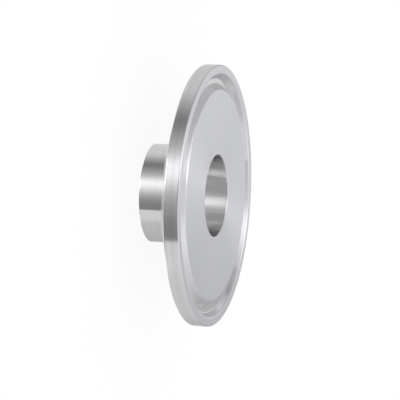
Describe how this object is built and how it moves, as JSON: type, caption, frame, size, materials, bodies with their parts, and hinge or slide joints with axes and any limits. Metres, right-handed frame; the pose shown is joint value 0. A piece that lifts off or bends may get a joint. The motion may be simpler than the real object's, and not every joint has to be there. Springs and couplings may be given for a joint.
{
  "type": "pipe collar",
  "caption": "Round clamp flange with a gasket groove in its sealing face, a short weld tube on its back and a straight bore through both.",
  "frame": {"origin": "centre of the bore at the weld end, where the part stands on the ring-shaped end of its tube", "axes": "+Z along the bore, from the weld end to the sealing face; the part is round, so +X and +Y are free"},
  "size_m": [0.0506, 0.0506, 0.0127],
  "materials": {
    "stainless": "fine turned, edge brushed, bore and weld tube polished"
  },
  "bodies": {
    "root": {"clamp_ferrule": "stainless"}
  },
  "joints": []
}
